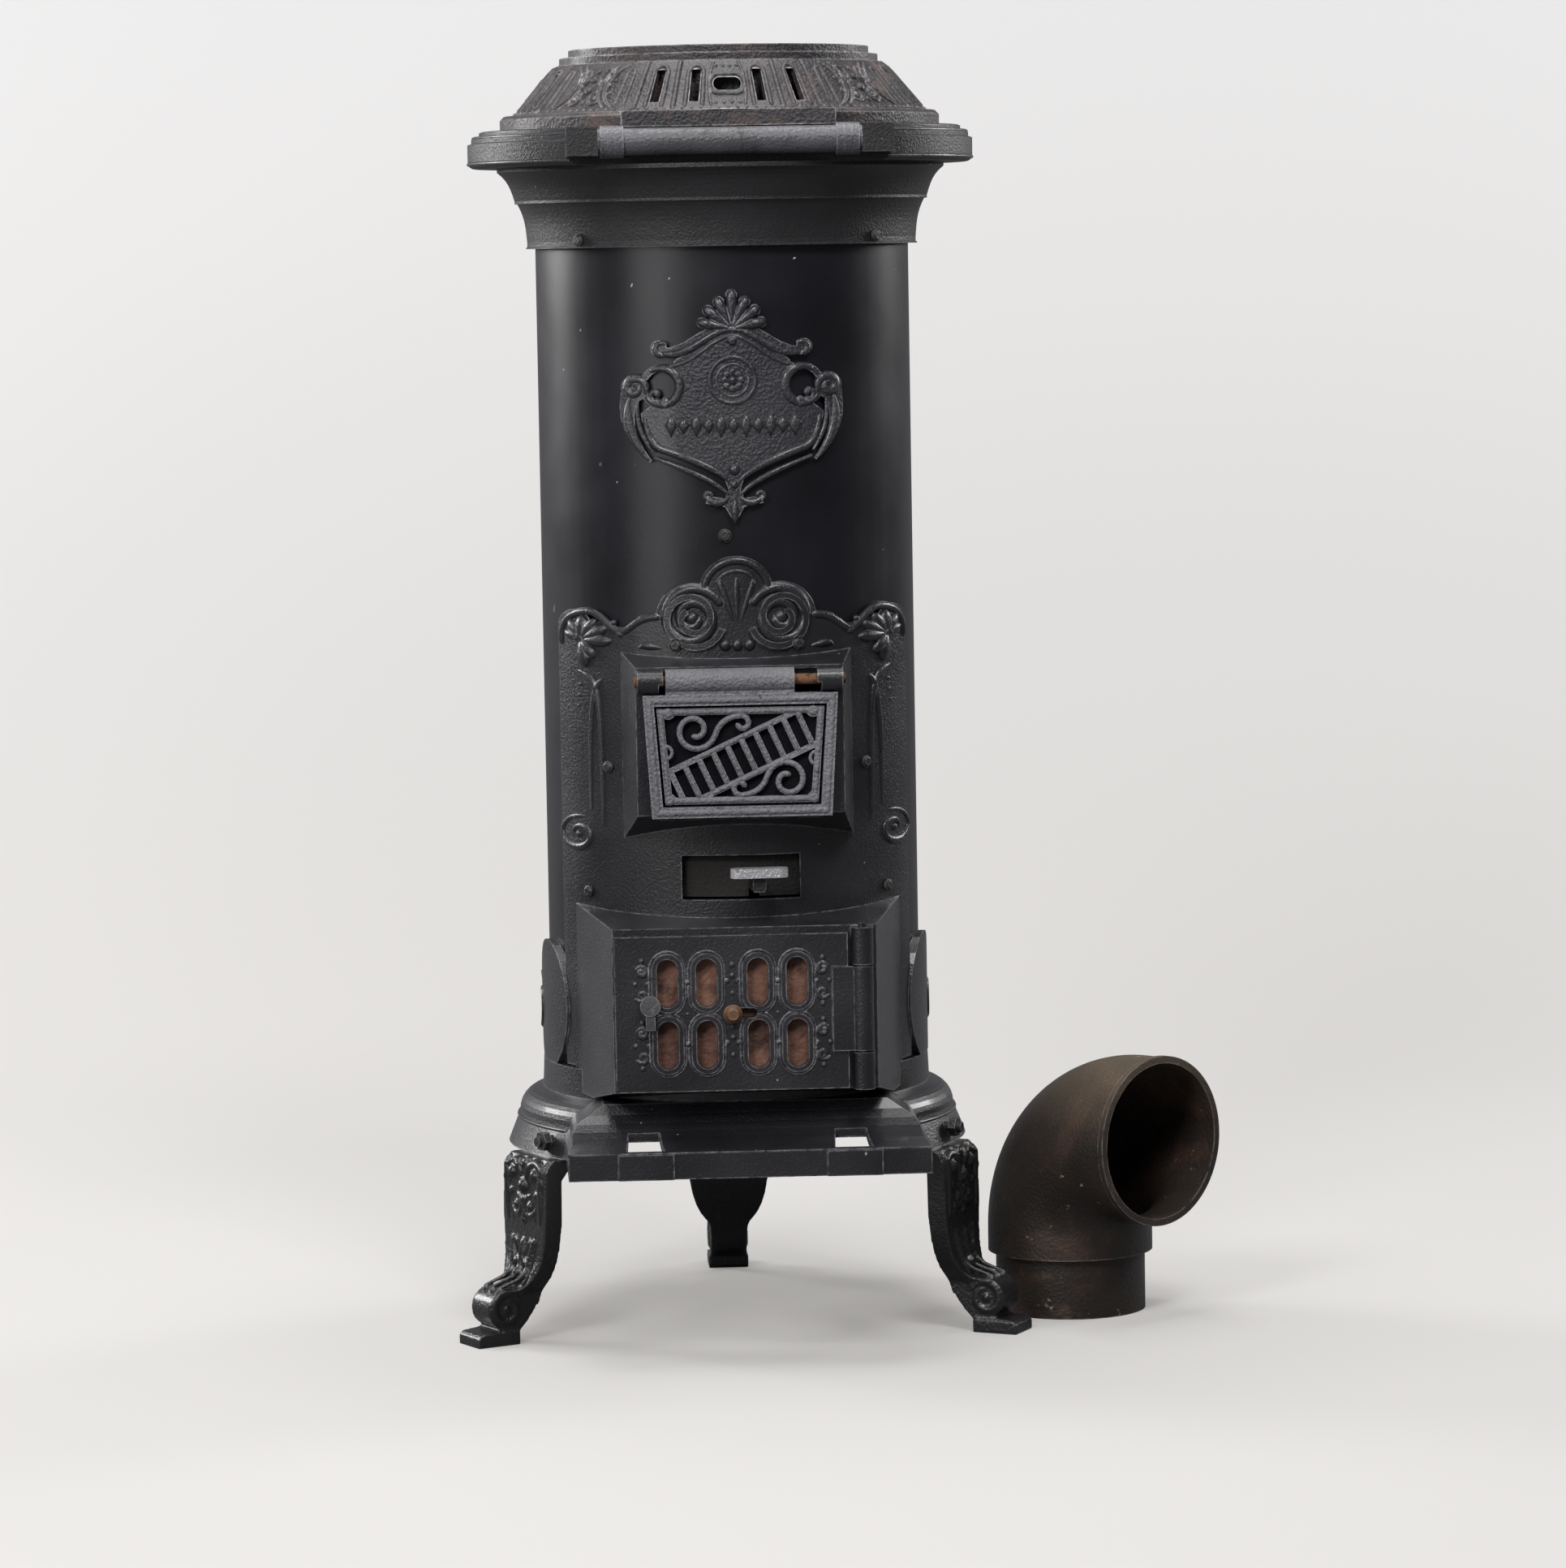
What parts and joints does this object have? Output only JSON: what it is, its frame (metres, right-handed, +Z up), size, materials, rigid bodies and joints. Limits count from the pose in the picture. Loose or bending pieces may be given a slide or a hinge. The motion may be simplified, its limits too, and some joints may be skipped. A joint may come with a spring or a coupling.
{
  "type": "round column stove",
  "caption": "Round cast-iron column stove on cabriole legs, with a fuel door, an ash door with an air slide, a pierced crown and a loose flue elbow.",
  "frame": {"origin": "on the stove's upright axis at floor level", "axes": "+Z up, the doors face -Y, +X to the viewer's right"},
  "size_m": [0.5865, 0.4595, 0.9725],
  "materials": {
    "black_iron": "blackened casting, satin",
    "jacket_sheet": "blackened sheet with a slight blue sheen and pale flecks",
    "worn_iron": "worn dark grey casting with brighter edges",
    "crown_iron": "brownish grey casting with light rust",
    "leg_iron": "black casting with a brown patina and silvery high spots",
    "rusty_iron": "rusted iron",
    "slide_plate": "rust-red sheet",
    "bright_steel": "worn bright steel",
    "inner_iron": "burnt, dull inner casting",
    "fired_clay": "fired clay, sooty and rough",
    "pan_sheet": "dull sheet steel",
    "elbow_sheet": "brown-black sheet with ochre patches"
  },
  "bodies": {
    "stove": {"base_casting": "black_iron", "front_left_leg": "leg_iron", "front_right_leg": "leg_iron", "rear_leg": "leg_iron", "leg_bolts": "rusty_iron", "leg_nuts": "rusty_iron", "bottom_plate": "inner_iron", "ash_pan": "pan_sheet", "jacket": "jacket_sheet", "jacket_back": "jacket_sheet", "seam_rivets": "jacket_sheet", "front_plate": "black_iron", "plate_screws": "worn_iron", "grate_stand": "inner_iron", "fire_pot": "inner_iron", "fire_lining": "fired_clay", "heat_plate": "inner_iron", "tie_rods": "rusty_iron", "tie_rod_nuts": "rusty_iron", "flue_collar": "black_iron", "flue_collar_screws": "worn_iron", "shield_badge": "black_iron", "badge_rivets": "black_iron", "jacket_screw": "worn_iron", "fuel_door_hinge_pin": "rusty_iron", "ash_door_hinge_pin": "black_iron", "latch_keeper": "black_iron", "neck_casting": "black_iron", "neck_screws": "worn_iron", "rim": "black_iron", "hand_bar": "worn_iron", "bar_collars": "black_iron", "crown": "crown_iron", "top_ring": "crown_iron"},
    "fuel_door": {"fuel_door_frame": "worn_iron", "fuel_door_grille": "worn_iron", "fuel_door_backplate": "inner_iron", "fuel_door_rivets": "worn_iron"},
    "ash_door": {"ash_door": "black_iron"},
    "air_slide": {"air_slide": "slide_plate", "air_slide_knob": "rusty_iron"},
    "latch": {"ash_door_latch": "bright_steel"},
    "shaker": {"grate": "inner_iron", "shaker_lever": "worn_iron", "shaker_knob": "bright_steel", "slot_shield": "inner_iron"},
    "top_lid": {"top_lid": "crown_iron"},
    "flue_elbow": {"flue_elbow": "elbow_sheet"}
  },
  "joints": [
    {"name": "fuel_door_hinge", "type": "hinge", "parent": "stove", "child": "fuel_door", "pos_m": [0, -0.176, 0.504], "axis": [-1, 0, 0], "range_deg": [0, 105]},
    {"name": "ash_door_hinge", "type": "hinge", "parent": "stove", "child": "ash_door", "pos_m": [0.087, -0.183, 0.258], "axis": [0, 0, 1], "range_deg": [0, 110]},
    {"name": "latch_turn", "type": "hinge", "parent": "ash_door", "child": "latch", "pos_m": [-0.071, -0.175, 0.265], "axis": [0, -1, 0], "range_deg": [0, 90]},
    {"name": "air_slide_shift", "type": "slide", "parent": "ash_door", "child": "air_slide", "axis": [1, 0, 0], "range_m": [0, 0.0145]},
    {"name": "grate_shake", "type": "hinge", "parent": "stove", "child": "shaker", "pos_m": [0, 0, 0.336], "axis": [0, 0, 1], "range_deg": [-17, 10]},
    {"name": "lid_lift", "type": "slide", "parent": "stove", "child": "top_lid", "axis": [0, 0, 1], "range_m": [0, 0.06]},
    {"name": "elbow_lift", "type": "slide", "parent": "stove", "child": "flue_elbow", "axis": [0, 0, 1], "range_m": [0, 0.15]}
  ]
}
